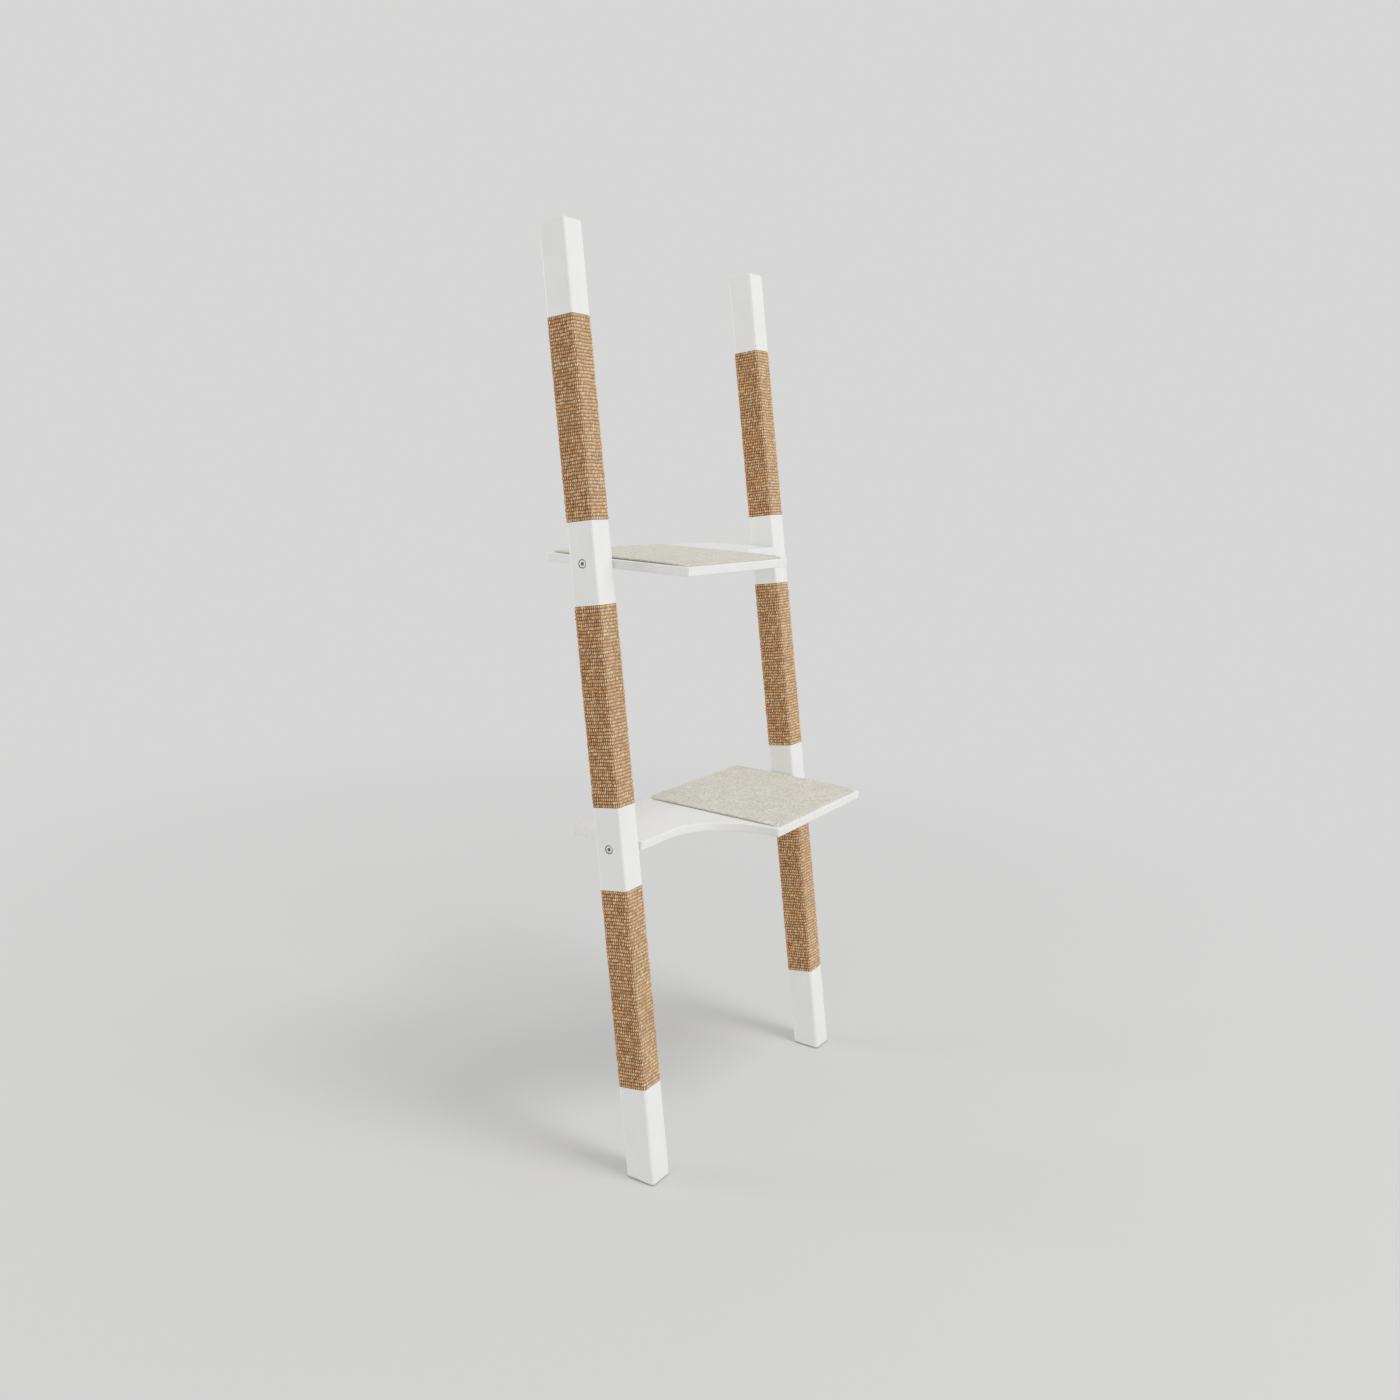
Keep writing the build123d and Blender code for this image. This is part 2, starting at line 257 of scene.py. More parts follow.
def weave(rng, loops, rows):
    """The grid of a strip's face. Gives for each point its place along the rows in loops, its place
    across them in rows, its height share, how far it lies out of the painted shade of the gaps,
    from
    0 deep in a gap to 1, and the tone of its loop."""
    across = (np.arange(rows)[:, None] + np.array(ROW_STEP_SHARES)[None, :]).ravel()
    across = np.append(across, rows)
    along = np.arange(loops * LOOP_STEPS + 1) / LOOP_STEPS
    across, along = np.meshgrid(across, along, indexing="ij")
    shares = (along / loops, across / rows)

    # Which row and loop a point is in, once the rows wobble and the loops shift and slant
    wobble = soft_noise(rng, *shares, 2 * loops // 3, rows)
    wavy = np.clip(across + ROW_WOBBLE_SHARE * wobble, 0, rows)
    row = np.minimum(np.floor(wavy), rows - 1).astype(int)
    in_row = 2 * (wavy - row) - 1
    shift = rng.uniform(-1, 1, rows)[row] + soft_noise(rng, *shares, loops, rows)
    shifted = along + LOOP_SHIFT_SHARE * shift + LOOP_SLANT_SHARE * in_row
    shifted = np.clip(shifted, 0, loops)
    loop = np.minimum(np.floor(shifted), loops - 1).astype(int)
    in_loop = 2 * (shifted - loop) - 1

    def for_each_loop(low, high):
        return rng.uniform(low, high, (rows, loops))[row, loop]

    size = for_each_loop(*LOOP_SIZES)
    run = soft_noise(rng, loop / loops, row / rows, loops // 3, rows)
    tone = TONE_RUN * run + LOWEST_TONE + TONE_SPREAD * for_each_loop(0, 1)
    fall = FALL_AT_ROW_EDGE * in_row**2 + FALL_AT_LOOP_SIDE * in_loop**2
    height = np.clip(1 - fall, 0, 1) ** LOOP_FULLNESS * size
    # Painted shade: the dark gap colour reaches in from the edges of each row and loop
    row_gap_shade, loop_gap_shade = for_each_loop(*ROW_GAP_SHADE), for_each_loop(*LOOP_GAP_SHADE)
    unshaded = np.clip(1 - row_gap_shade * in_row**4 - loop_gap_shade * in_loop**2, 0, 1)
    return along, across, height, unshaded, tone


def wrap_faces(rows, columns):
    """Faces of a strip: the looped face, the cut edges at its ends and seam, and its flat back."""
    faces = grid_faces(rows, columns)
    smooth = [True] * len(faces)
    low, high = rows * columns, rows * columns + columns
    top = (rows - 1) * columns
    for j in range(columns - 1):
        faces.append([low + j, low + j + 1, j + 1, j])
        faces.append([top + j, top + j + 1, high + j + 1, high + j])
        faces.append([low + j + 1, low + j, high + j, high + j + 1])
    first = [i * columns for i in range(rows)]
    last = [i * columns + columns - 1 for i in range(rows)]
    faces.append(first + [high, low])
    faces.append(last[::-1] + [low + columns - 1, high + columns - 1])
    smooth += [False] * (len(faces) - len(smooth))
    return faces, smooth


def build_wrap(name, node, seed, material):
    """A strip of sisal round a rail, with its loops as relief, a back and cut edges."""
    rng = np.random.default_rng(seed)
    side, length = wrap_size(node)
    span = wrap_perimeter(side) - WRAP_SEAM
    loops, rows = round(span / LOOP_PITCH), round(length / ROW_PITCH)
    along, across, height, unshaded, tone = weave(rng, loops, rows)
    shares = share_along, share_across = along / loops, across / rows
    inside = np.clip(GROWTH_FROM_SEAM * share_along * (1 - share_along), 0, 1)
    inside = inside * np.clip(GROWTH_FROM_ENDS * share_across * (1 - share_across), 0, 1)
    drift_along = soft_noise(rng, *shares, *DRIFT_ALONG_CELLS) * WEAVE_DRIFT * inside
    drift_across = soft_noise(rng, *shares, *DRIFT_ACROSS_CELLS) * WEAVE_DRIFT * inside
    place, out = wrap_section(side, WRAP_SEAM / 2 + share_along * span + drift_along)
    rise = LOOP_RISE - LOOP_RELIEF * (1 - height)
    rise = rise + soft_noise(rng, *shares, *SWELL_CELLS) * WEAVE_SWELL
    z = (share_across - 0.5) * length + drift_across
    face = np.stack([place[0] + out[0] * rise, place[1] + out[1] * rise, z], axis=-1)
    back = place - out * WRAP_THICKNESS
    ends = [np.stack([back[0][end], back[1][end], z[end]], axis=-1) for end in (0, -1)]
    points = np.concatenate([face.reshape(-1, 3), *ends])
    faces, smooth = wrap_faces(*along.shape)
    piece = new_piece(name, points, faces, material, smooth)
    back_points = 2 * along.shape[1]
    kept = {
        "along": (along, 0),
        "across": (across, 0),
        "unshaded": (unshaded, 0),
        "tone": (tone, BACK_TONE),
    }
    for what, (values, at_back) in kept.items():
        filled = np.concatenate([values.ravel(), np.full(back_points, at_back)])
        store(piece, "weave_" + what, filled)
    low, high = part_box(node)
    piece.matrix_world = Matrix.Translation((low + high) / 2) @ UP_THE_RAIL
    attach(piece, "frame")
    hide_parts(node)


# Felt mats


def mat_lines(half):
    """Grid lines from -half to half, closer together over the rounded edge."""
    edge = FELT_ARRIS * np.array(ARRIS_STEP_SHARES)
    count = round(2 * (half - edge[-1]) / FELT_STEP)
    inner = np.linspace(-half + edge[-1], half - edge[-1], count + 1)
    return np.concatenate([-half + edge[:-1], inner, half - edge[:-1][::-1]])


def round_the_corners(x, y, half_x, half_y):
    """Moves a rectangle's grid so that its corners become arcs."""
    dx = np.clip(np.abs(x) - (half_x - FELT_CORNER), 0, None)
    dy = np.clip(np.abs(y) - (half_y - FELT_CORNER), 0, None)
    reach = np.hypot(dx, dy)
    scale = np.where(reach > 0, np.maximum(dx, dy) / np.maximum(reach, TINY), 1)
    x = np.where(dx > 0, np.sign(x) * (half_x - FELT_CORNER + dx * scale), x)
    y = np.where(dy > 0, np.sign(y) * (half_y - FELT_CORNER + dy * scale), y)
    return x, y


def strip_hollows(level, x, y):
    """How deep the mat's underside is pressed in over the hook strips, at places on the mat."""
    low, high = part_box(level + "_mat_strips")
    middle, room = (low + high) / 2, STRIP_ROOM + FELT_STEP
    inside_x = np.abs(x) < (high.x - low.x) / 2 + room
    hollow = np.zeros_like(x)
    for centre in np.linspace(low.y + STRIP_WIDTH / 2, high.y - STRIP_WIDTH / 2, STRIP_COUNT):
        inside_y = np.abs(y - (centre - middle.y)) < STRIP_WIDTH / 2 + room
        hollow[inside_x & inside_y] = high.z - low.z
    return hollow


def mat_points(level, seed, half_x, half_y, thickness):
    """Grids of a mat's top and underside: rounded and uneven edges, short edges that lift off the
    board, a face of soft clumps, and hollows below over the hook strips."""
    rng = np.random.default_rng(seed)
    flat_y, flat_x = np.meshgrid(mat_lines(half_y), mat_lines(half_x), indexing="ij")
    from_ends, from_sides = half_x - np.abs(flat_x), half_y - np.abs(flat_y)
    to_edge = np.minimum(from_ends, from_sides)
    shares = (flat_x + half_x) / (2 * half_x), (flat_y + half_y) / (2 * half_y)
    near_edge = np.clip(1 - to_edge / FELT_CUT_REACH, 0, 1)
    cut = soft_noise(rng, *shares, *FELT_CUT_CELLS) * near_edge * FELT_CUT_DRIFT
    x, y = round_the_corners(flat_x, flat_y, half_x, half_y)
    x, y = x * (1 + cut / half_y), y * (1 + cut / half_y)
    fall = FELT_ARRIS * (1 - np.sqrt(1 - np.clip(1 - to_edge / FELT_ARRIS, 0, 1) ** 2))
    clumps = LARGE_CLUMPS * soft_noise(rng, *shares, *LARGE_CLUMP_CELLS)
    clumps = clumps + SMALL_CLUMPS * soft_noise(rng, *shares, *SMALL_CLUMP_CELLS)
    clumps = clumps * FELT_RELIEF * np.clip(to_edge / FELT_ARRIS, 0, 1)
    at_ends = np.clip(1 - from_ends / FELT_RIM, 0, 1)
    off_corners = np.clip(from_sides / FELT_RIM_FADE, 0, 1)
    lift = FELT_RIM_LIFT * eased(at_ends) * eased(off_corners)
    hollow = strip_hollows(level, flat_x, flat_y)
    top = np.stack([x, y, thickness / 2 - fall + clumps + lift], axis=-1)
    bottom = np.stack([x, y, -thickness / 2 + np.maximum(fall, hollow) + lift], axis=-1)
    return top, bottom


def mat_faces(rows, columns):
    """Faces of a mat: its top, its underside and the cut edge between them."""
    under = rows * columns
    faces = grid_faces(rows, columns) + grid_faces(rows, columns, under, flip=True)
    edge = list(range(columns))
    edge += [i * columns + columns - 1 for i in range(1, rows)]
    edge += [(rows - 1) * columns + j for j in range(columns - 2, -1, -1)]
    edge += [i * columns for i in range(rows - 2, 0, -1)]
    for a, b in zip(edge, edge[1:] + edge[:1]):
        faces.append([under + a, under + b, b, a])
    return faces


def build_mat(level, seed, material):
    """A felt mat on its shelf."""
    node = level + "_mat"
    low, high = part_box(node)
    half_x, half_y = (high.x - low.x) / 2, (high.y - low.y) / 2
    top, bottom = mat_points(level, seed, half_x, half_y, high.z - low.z)
    points = np.concatenate([top.reshape(-1, 3), bottom.reshape(-1, 3)])
    faces = mat_faces(*top.shape[:2])
    piece = new_piece(level + "_felt_mat", points, faces, material, [True] * len(faces))
    piece.matrix_world = Matrix.Translation((low + high) / 2)
    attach(piece, node)
    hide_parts(node)


# Materials

# Where a noise's darker and paler ends are taken to be
NOISE_ENDS = (0.3, 0.7)

# The sockets of a node that mixes two colours
MIX_SHARE, MIX_FIRST, MIX_SECOND, MIX_RESULT = 0, 6, 7, 2


class Nodes:
    """Short ways to add to a node tree."""

    def __init__(self, tree):
        self.tree = tree

    def node(self, kind, inputs=(), **settings):
        """A new node with its settings, and its inputs fed by name or by number."""
        made = self.tree.nodes.new(kind)
        for name, value in settings.items():
            setattr(made, name, value)
        for key, value in dict(inputs).items():
            self.feed(made.inputs[key], value)
        return made

    def feed(self, socket, value):
        """Links a socket to another one, or gives it a plain value."""
        if isinstance(value, bpy.types.NodeSocket):
            self.tree.links.new(value, socket)
        else:
            socket.default_value = value

    def math(self, operation, *values):
        return self.node("ShaderNodeMath", enumerate(values), operation=operation).outputs[0]

    def blend(self, share, first, second):
        """A shader between two others."""
        return self.node("ShaderNodeMixShader", {0: share, 1: first, 2: second}).outputs[0]


class Recipe(Nodes):
    """A material in the making. place is the place on the piece, in its own frame."""

    def __init__(self, name):
        self.material = bpy.data.materials.new(name)
        self.material.use_nodes = True
        super().__init__(self.material.node_tree)
        self.shader = self.tree.nodes["Principled BSDF"]
        self.place = self.node("ShaderNodeTexCoord").outputs["Object"]

    def set(self, **values):
        """Feeds the shader's inputs, with _ in their names for a space."""
        for name, value in values.items():
            self.feed(self.shader.inputs[name.replace("_", " ")], value)

    def stretched(self, scale, turn=(0, 0, 0), place=None):
        """A place, turned and then scaled along each axis."""
        inputs = {"Vector": place or self.place, "Rotation": turn}
        turned = self.node("ShaderNodeMapping", inputs).outputs["Vector"]
        return self.node("ShaderNodeMapping", {"Vector": turned, "Scale": scale}).outputs["Vector"]

    def noise(self, scale=1.0, detail=3.0, roughness=0.55, place=None):
        inputs = {"Scale": scale, "Detail": detail, "Roughness": roughness}
        inputs["Vector"] = place or self.place
        return self.node("ShaderNodeTexNoise", inputs).outputs["Fac"]

    def cells(self, scale=1.0, place=None):
        """How far a place is from the nearest of many scattered points."""
        inputs = {"Vector": place or self.place, "Scale": scale}
        return self.node("ShaderNodeTexVoronoi", inputs).outputs["Distance"]

    def total(self, *parts):
        """The sum of some values, each with its weight."""
        (first, weight), *rest = parts
        result = self.math("MULTIPLY", first, weight)
        for value, weight in rest:
            result = self.math("MULTIPLY_ADD", value, weight, result)
        return result

    def ranged(self, value, ends, new_ends):
        """A value whose range between two ends is stretched to two new ones."""
        inputs = enumerate((value, *ends, *new_ends))
        return self.node("ShaderNodeMapRange", inputs).outputs[0]

    def ramp(self, value, *stops):
        """A colour that runs through stops, each a position and its colour."""
        made = self.node("ShaderNodeValToRGB", {"Fac": value})
        while len(made.color_ramp.elements) < len(stops):
            made.color_ramp.elements.new(1)
        for element, (position, colour) in zip(made.color_ramp.elements, stops):
            element.position = position
            element.color = (*colour, 1)
        return made.outputs["Color"]

    def between(self, noise, dark, pale, ends=NOISE_ENDS):
        """A colour that a noise moves between a dark and a pale one."""
        return self.ramp(noise, (ends[0], dark), (ends[1], pale))

    def mixed(self, share, first, second, how="MIX"):
        inputs = {MIX_SHARE: share, MIX_FIRST: first, MIX_SECOND: second}
        made = self.node("ShaderNodeMix", inputs, data_type="RGBA", blend_type=how)
        return made.outputs[MIX_RESULT]

    def kept(self, name):
        """A number that the mesh holds for each point."""
        return self.node("ShaderNodeAttribute", attribute_name=name).outputs["Fac"]

    def bump(self, height, depth, under=None):
        """Fine relief of a depth, over other relief if there is any under it."""
        inputs = {"Height": height, "Distance": depth, "Strength": 1.0}
        if under is not None:
            inputs["Normal"] = under
        return self.node("ShaderNodeBump", inputs).outputs["Normal"]


def lacquer(name, grain):
    """Satin white lacquer. Over solid wood a trace of grain shows, over board only a fine skin."""
    recipe = Recipe(name)
    skin = recipe.noise(scale=900, detail=2)
    cloud = recipe.noise(scale=14)
    recipe.set(Base_Color=recipe.between(cloud, (0.83, 0.83, 0.815), (0.86, 0.86, 0.845)))
    recipe.set(Roughness=recipe.ranged(cloud, NOISE_ENDS, (0.36, 0.46)), IOR=1.48)
    normal = recipe.bump(skin, depth=0.02 * MM)
    if grain:
        up_the_rail = recipe.stretched((260, 260, 6), turn=(LEAN, 0, 0))
        fibres = recipe.noise(detail=5, roughness=0.6, place=up_the_rail)
        normal = recipe.bump(fibres, depth=0.03 * MM, under=normal)
    recipe.set(Normal=normal)
    return recipe.material


# The yarn's shades; the painted shade in the gaps: over which range it goes over into the yarn, and
# its colour; and the painted light on the strips' front faces: how much, into which colour, and
# where across the rail
YARN_SHADES = (
    (0.35, (0.52, 0.205, 0.048)),
    (0.65, (0.86, 0.48, 0.185)),
    (0.95, (1.0, 0.79, 0.47)),
)
GAP_SHADE_ENDS = (0.05, 0.8)
GAP_SHADE_COLOUR = (0.13, 0.036, 0.003, 1)
PAINTED_LIGHT_SHARE = 0.15
PAINTED_LIGHT_COLOUR = (1.0, 0.88, 0.66, 1)
PAINTED_LIGHT_REACH = (-26 * MM, -21 * MM)


def sisal():
    """Coarse tan yarn: a shade for each loop, painted dark brown shade in the gaps, fine fibres
    along the rows, and painted light that makes the strips' front faces a little paler."""
    recipe = Recipe("sisal_yarn")
    weave_place = {"X": recipe.kept("weave_along"), "Y": recipe.kept("weave_across")}
    yarn = recipe.node("ShaderNodeCombineXYZ", weave_place).outputs["Vector"]
    fibre_place = recipe.stretched((1.3, 14, 1), turn=(0, 0, 0.12), place=yarn)
    fibres = recipe.noise(detail=4, roughness=0.65, place=fibre_place)
    patches = recipe.noise(scale=0.22, place=yarn)
    shade = recipe.total((recipe.kept("weave_tone"), 0.65), (patches, 0.1), (fibres, 0.6))
    # Painted shade: deep in the weave's gaps the yarn is painted dark brown
    shown = recipe.ranged(recipe.kept("weave_unshaded"), GAP_SHADE_ENDS, (0, 1))
    colour = recipe.mixed(shown, GAP_SHADE_COLOUR, recipe.ramp(shade, *YARN_SHADES))
    # Painted light: the strips' front faces are painted paler, as if the front lamp lit them
    to_wall = recipe.node("ShaderNodeSeparateXYZ", {"Vector": recipe.place}).outputs["Y"]
    painted_light = recipe.ranged(to_wall, PAINTED_LIGHT_REACH, (PAINTED_LIGHT_SHARE, 0))
    colour = recipe.mixed(painted_light, colour, PAINTED_LIGHT_COLOUR)
    recipe.set(Base_Color=colour, Roughness=0.62, Specular_IOR_Level=0.75)
    recipe.set(Sheen_Weight=0.7, Sheen_Roughness=0.35, Sheen_Tint=(1.0, 0.98, 0.95, 1))
    recipe.set(Normal=recipe.bump(fibres, depth=0.6 * MM))
    return recipe.material


# The felt's hairs: the turns of its three layers and how fine each is, the shades between them,
# and the tint of its yellower patches and of its few dark flecks
HAIR_LAYERS = ((0.4, 1.0), (1.5, 1.15), (2.6, 0.9))
HAIR_SCALE = (260, 1500, 400)
FELT_SHADES = (
    (0.52, (0.44, 0.42, 0.37)),
    (0.80, (0.64, 0.62, 0.56)),
    (1.0, (0.80, 0.78, 0.73)),
)
YELLOW_TINT = (1.0, 0.985, 0.93, 1)
FLECK_COLOUR = (0.33, 0.30, 0.26, 1)
FLECK_SHARE = 0.35


def felt():
    """Pressed wool in light grey-beige, a melange of paler and darker hairs."""
    recipe = Recipe("wool_felt")
    hairs = []
    x, y, z = HAIR_SCALE
    for turn, fineness in HAIR_LAYERS:
        layer = recipe.stretched((x * fineness, y * fineness, z), turn=(0, 0, turn))
        hairs.append(recipe.noise(detail=2, roughness=0.5, place=layer))
    tangle = recipe.math("MAXIMUM", recipe.math("MAXIMUM", hairs[0], hairs[1]), hairs[2])
    clumps = recipe.noise(scale=240, detail=4, roughness=0.65)
    cloud = recipe.math("SUBTRACT", recipe.noise(scale=30), 0.5)
    shade = recipe.total((tangle, 0.45), (clumps, 1.1), (cloud, 0.25))
    colour = recipe.ramp(shade, *FELT_SHADES)
    yellow = recipe.ranged(recipe.noise(scale=150), (0.4, 0.62), (0, 1))
    colour = recipe.mixed(yellow, colour, YELLOW_TINT, "MULTIPLY")
    fleck_place = recipe.stretched((1, 1.6, 1), turn=(0, 0, 0.7))
    from_fleck = recipe.cells(scale=190, place=fleck_place)
    flecks = recipe.ranged(from_fleck, (0.05, 0.14), (FLECK_SHARE, 0))
    colour = recipe.mixed(flecks, colour, FLECK_COLOUR)
    recipe.set(Base_Color=colour, Roughness=0.95, Specular_IOR_Level=0.15)
    recipe.set(Sheen_Weight=0.25, Sheen_Roughness=0.6)
    clumped = recipe.bump(clumps, depth=0.3 * MM)
    recipe.set(Normal=recipe.bump(tangle, depth=0.25 * MM, under=clumped))
    return recipe.material


# How much darker the plated steel is in its clouds, and how much glossier and duller
STEEL_SHADE = 0.88
STEEL_GLOSS = (0.8, 1.25)


def steel(name, colour, metallic, roughness, scratch):
    """Plated steel with a cloudy shine and fine scratches, as deep as scratch says."""
    recipe = Recipe(name)
    cloud = recipe.noise(scale=220, detail=4)
    lines = recipe.noise(detail=2, place=recipe.stretched((4000, 4000, 300)))
    shaded = [c * STEEL_SHADE for c in colour]
    recipe.set(Base_Color=recipe.between(cloud, shaded, colour), Metallic=metallic)
    gloss = [roughness * share for share in STEEL_GLOSS]
    recipe.set(Roughness=recipe.ranged(cloud, NOISE_ENDS, gloss))
    recipe.set(Normal=recipe.bump(lines, scratch))
    return recipe.material


def beech():
    """Bare beech with short brown rays along the grain."""
    recipe = Recipe("bare_beech")
    grain = recipe.noise(detail=5, roughness=0.6, place=recipe.stretched((60, 900, 900)))
    rays = recipe.cells(place=recipe.stretched((250, 1800, 1800)))
    colour = recipe.between(grain, (0.56, 0.36, 0.2), (0.70, 0.5, 0.31))
    colour = recipe.mixed(recipe.ranged(rays, (0, 0.25), (0.5, 0)), colour, (0.4, 0.22, 0.11, 1))
    recipe.set(Base_Color=colour, Roughness=0.6, Normal=recipe.bump(grain, depth=0.08 * MM))
    return recipe.material


def rubber():
    """Light grey rubber with a fine grain and dusty patches."""
    recipe = Recipe("grey_rubber")
    dust = recipe.noise(scale=60, detail=4)
    colour = recipe.between(dust, (0.42, 0.42, 0.4), (0.52, 0.52, 0.5), ends=(0.35, 0.7))
    grain = recipe.noise(scale=2500, detail=2)
    recipe.set(Base_Color=colour, Roughness=0.8, Normal=recipe.bump(grain, depth=0.05 * MM))
    return recipe.material


def hook_tape():
    """Hook tape: tiny pale nylon hooks, close together, over a greyer base."""
    recipe = Recipe("hook_tape")
    hooks = recipe.cells(scale=800)
    colour = recipe.between(hooks, (0.66, 0.66, 0.64), (0.42, 0.42, 0.4), ends=(0.1, 0.6))
    recipe.set(Base_Color=colour, Roughness=0.55, Normal=recipe.bump(hooks, depth=0.4 * MM))
    return recipe.material


def socket_shade():
    """Painted shade inside a bolt's socket: a mottled grey that is no metal."""
    recipe = Recipe("painted_socket_shade")
    socket_mottle = recipe.noise(scale=900)
    colour = recipe.between(socket_mottle, (0.36, 0.375, 0.385), (0.47, 0.485, 0.495))
    recipe.set(Base_Color=colour, Roughness=0.5, Normal=recipe.bump(socket_mottle, depth=0.03 * MM))
    return recipe.material


def painted_bore_shade():
    """Painted shade in a drilled hole: dark grey, with the wood's rings."""
    recipe = Recipe("painted_bore_shade")
    rings = recipe.noise(place=recipe.stretched((1800, 90, 90)))
    colour = recipe.between(rings, (0.30, 0.30, 0.28), (0.42, 0.42, 0.39))
    recipe.set(Base_Color=colour, Roughness=0.85, Normal=recipe.bump(rings, depth=0.1 * MM))
    return recipe.material


# Finishes of the CAD nodes, and the painted shade in their bores and sockets


def corner_places(piece):
    """Places of a piece's points."""
    return np.array([piece.matrix_world @ point.co for point in piece.data.vertices])


def bolt_axes():
    """Y and Z of the bolts' two axes, upper and lower."""
    points = corner_places(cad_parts["shelf_bolts"])
    middle = (points[:, 2].min() + points[:, 2].max()) / 2
    groups = (points[points[:, 2] > middle, 1:], points[points[:, 2] < middle, 1:])
    return [(group.min(axis=0) + group.max(axis=0)) / 2 for group in groups]


def dress_inside(node, reach, deepest, material):
    """Gives a second material, a painted shade, to a node's faces that are within reach of a bolt's
    axis and lie below the node's outer face, less deep than deepest."""
    piece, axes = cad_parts[node], bolt_axes()
    points = corner_places(piece)
    outside = np.abs(points[:, 0]).max()
    piece.data.materials.append(material)
    for face in piece.data.polygons:
        centre = points[list(face.vertices)].mean(axis=0)
        near = min(np.hypot(*(centre[1:] - axis)) for axis in axes)
        depth = outside - abs(centre[0])
        if near < reach and SKIN < depth < deepest:
            face.material_index = 1


def dress_nodes():
    """Gives each CAD node that isn't replaced its finish."""
    bright_colour, dull_colour = (0.84, 0.875, 0.91), (0.66, 0.67, 0.68)
    bright = steel("bright_plated_steel", bright_colour, 0.35, roughness=0.3, scratch=0.02 * MM)
    dull = steel("dull_plated_steel", dull_colour, 1.0, roughness=0.38, scratch=0.03 * MM)
    rails, hangers = ["left_rail", "right_rail"], ["left_wall_hanger", "right_wall_hanger"]
    finishes = (
        (lacquer("lacquered_wood", True), "white_lacquer", rails),
        (lacquer("lacquered_board", False), "white_lacquer", ["upper_shelf", "lower_shelf"]),
        (hook_tape(), "hook_tape", ["upper_mat_strips", "lower_mat_strips"]),
        (rubber(), "pad_rubber", ["left_foot_pad", "right_foot_pad"]),
        (bright, "bolt_steel", ["shelf_bolts", "bolt_washers"]),
        (dull, "zinc_plate", [*hangers, "barrel_nuts"]),
        (dull, "screw_steel", ["hanger_screws"]),
        (beech(), "beech", ["dowels"]),
    )
    for material, slot, nodes in finishes:
        for node in nodes:
            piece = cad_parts[node]
            piece.data.materials.clear()
            piece.data.materials.append(material)
    # Painted shade in the rails' counterbores and bores, and in the bolts' sockets
    bore_shade = painted_bore_shade()
    low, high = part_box("left_rail")
    for rail in rails:
        dress_inside(rail, BORE_REACH, high.x - low.x - SKIN, bore_shade)
    dress_inside("shelf_bolts", SOCKET_REACH, SOCKET_DEPTH + SKIN, socket_shade())


# Stage, light and camera


def build_floor():
    """A plain pale floor that turns into the plain background further off."""
    bpy.ops.mesh.primitive_circle_add(vertices=FLOOR_SIDES, radius=FLOOR_RADIUS, fill_type="NGON")
    floor = bpy.context.object
    floor.name = "floor"
    recipe = Recipe("plain_floor")
    recipe.set(Base_Color=FLOOR_COLOUR, Roughness=0.9, Specular_IOR_Level=0.1)
    distance = recipe.node("ShaderNodeVectorMath", {0: recipe.place}, operation="LENGTH")
    far = recipe.ranged(distance.outputs["Value"], FLOOR_FADE, (0, 1))
    seen = recipe.node("ShaderNodeLightPath").outputs["Is Camera Ray"]
    plain = recipe.node("ShaderNodeEmission", {"Color": BACKDROP, "Strength": 1.0}).outputs[0]
    both = recipe.blend(recipe.math("MULTIPLY", far, seen), recipe.shader.outputs[0], plain)
    recipe.feed(recipe.tree.nodes["Material Output"].inputs["Surface"], both)
    floor.data.materials.append(recipe.material)


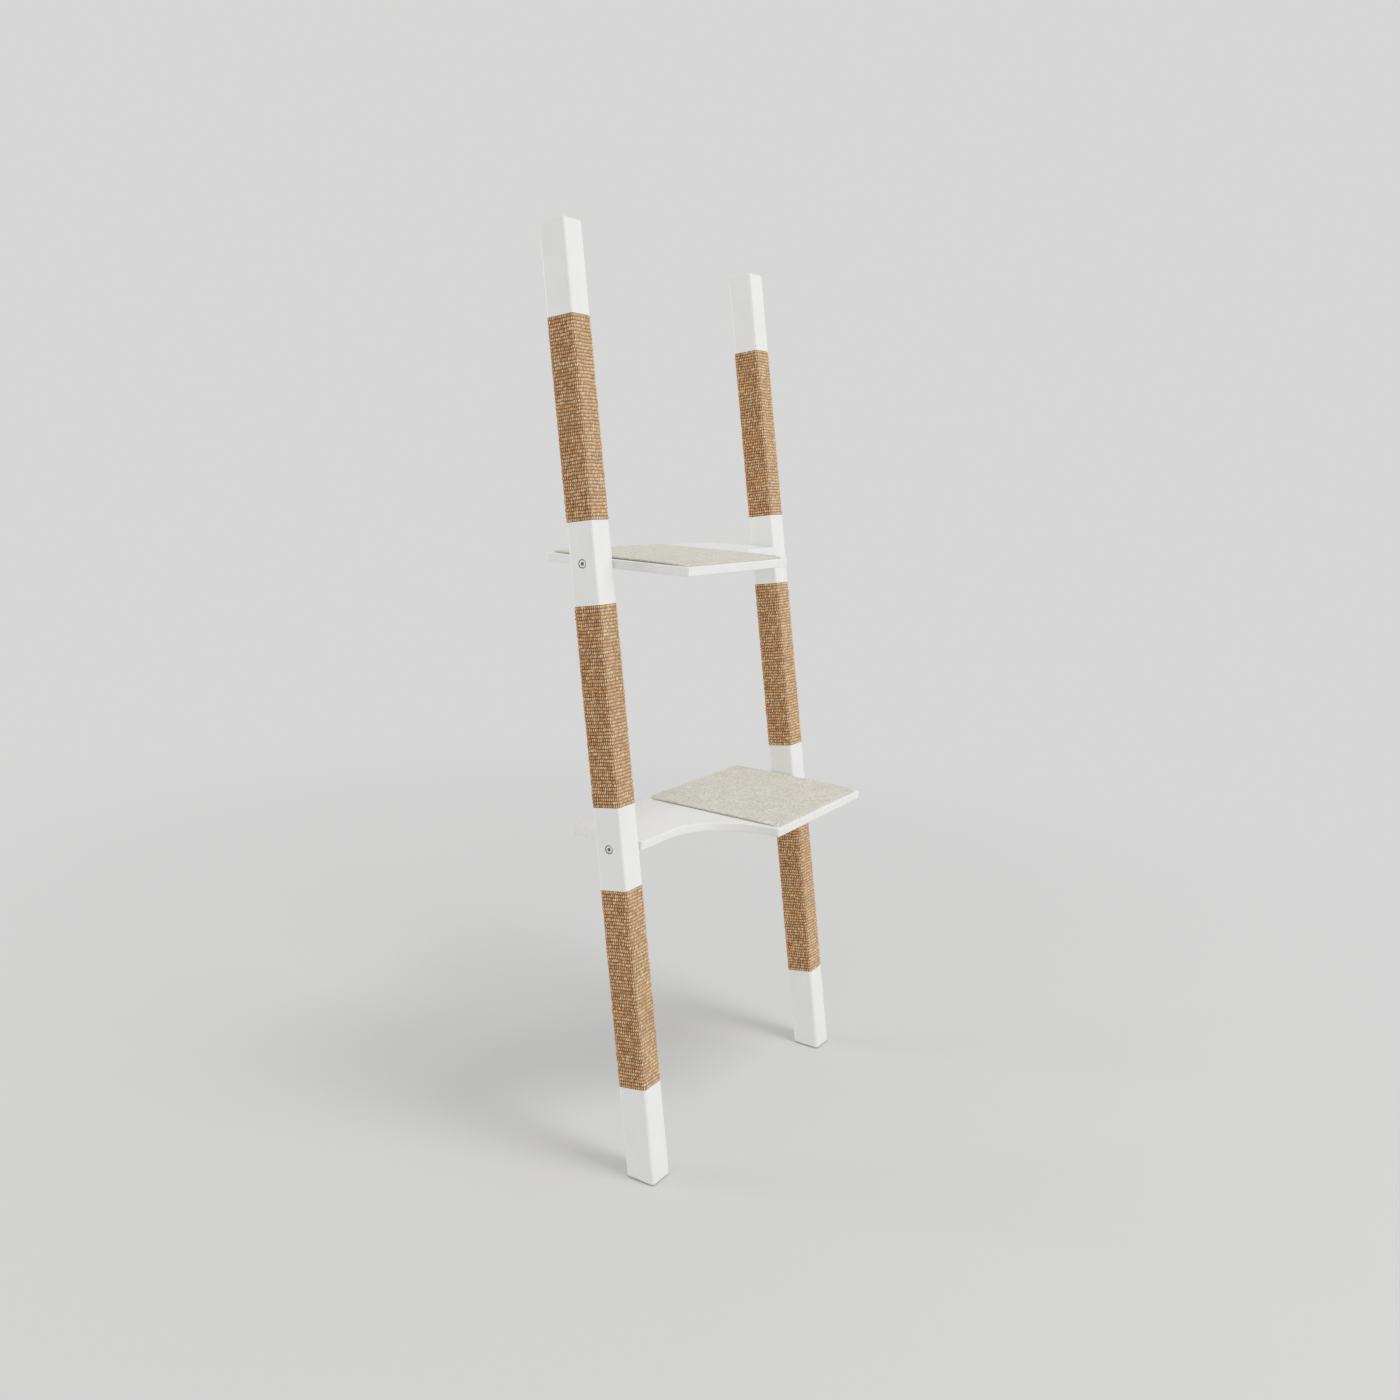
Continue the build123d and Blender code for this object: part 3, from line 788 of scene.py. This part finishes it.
def build_world():
    """Even light from all round. The camera, gloss and glass see the plain background instead."""
    world = bpy.data.worlds.new("plain_world")
    world.use_nodes = True
    bpy.context.scene.world = world
    nodes = Nodes(world.node_tree)
    ambient = nodes.tree.nodes["Background"]
    nodes.feed(ambient.inputs["Color"], WHITE)
    nodes.feed(ambient.inputs["Strength"], AMBIENT)
    backdrop = nodes.node("ShaderNodeBackground", {"Color": BACKDROP})
    path = nodes.node("ShaderNodeLightPath").outputs
    seen = nodes.math("MAXIMUM", path["Is Camera Ray"], path["Is Glossy Ray"])
    seen = nodes.math("MAXIMUM", seen, path["Is Transmission Ray"])
    both = nodes.blend(seen, ambient.outputs[0], backdrop.outputs[0])
    nodes.feed(nodes.tree.nodes["World Output"].inputs["Surface"], both)


def light_the_scene():
    """Soft square lamps that point at the tree's middle."""
    middle = (cad_box[0] + cad_box[1]) / 2
    for name, place, size, power in LAMPS:
        lamp = bpy.data.lights.new(name, "AREA")
        lamp.size = size
        lamp.energy = power
        holder = bpy.data.objects.new(name, lamp)
        holder.location = place
        ahead = middle - Vector(place)
        holder.rotation_euler = ahead.to_track_quat("-Z", "Y").to_euler()
        bpy.context.scene.collection.objects.link(holder)


def place_camera():
    """The photo's camera. Its optical axis is off the picture's middle, which the shift gives."""
    camera = bpy.data.cameras.new("camera")
    camera.sensor_width = SENSOR
    camera.lens = SENSOR * FOCAL_PIXELS / PICTURE_SIDE
    camera.shift_x = 0.5 - AXIS_PIXEL[0] / PICTURE_SIDE
    camera.shift_y = AXIS_PIXEL[1] / PICTURE_SIDE - 0.5
    holder = bpy.data.objects.new("camera", camera)
    bpy.context.scene.collection.objects.link(holder)
    turn = Matrix.Rotation(CAMERA_YAW, 3, "Z") @ Matrix.Rotation(CAMERA_PITCH, 3, "X")
    ahead, side = turn @ Vector((0, 1, 0)), turn @ Vector((1, 0, 0))
    up = side.cross(ahead)
    rolled_side = side * math.cos(CAMERA_ROLL) + up * math.sin(CAMERA_ROLL)
    rolled_up = up * math.cos(CAMERA_ROLL) - side * math.sin(CAMERA_ROLL)
    axes = Matrix((rolled_side, rolled_up, -ahead)).transposed()
    holder.matrix_world = Matrix.Translation(CAMERA_PLACE) @ axes.to_4x4()
    bpy.context.scene.camera = holder


def main():
    bpy.context.scene.view_settings.view_transform = "Standard"
    place_camera()
    build_floor()
    build_world()
    light_the_scene()
    dress_nodes()
    yarn, wool = sisal(), felt()
    wraps = [(side, place) for side in SIDES for place in WRAP_PLACES]
    for seed, (side, place) in enumerate(wraps):
        build_wrap(f"{side}_sisal_{place}", f"{side}_wrap_{place}", seed, yarn)
    for seed, level in enumerate(LEVELS, start=100):
        build_mat(level, seed, wool)


main()
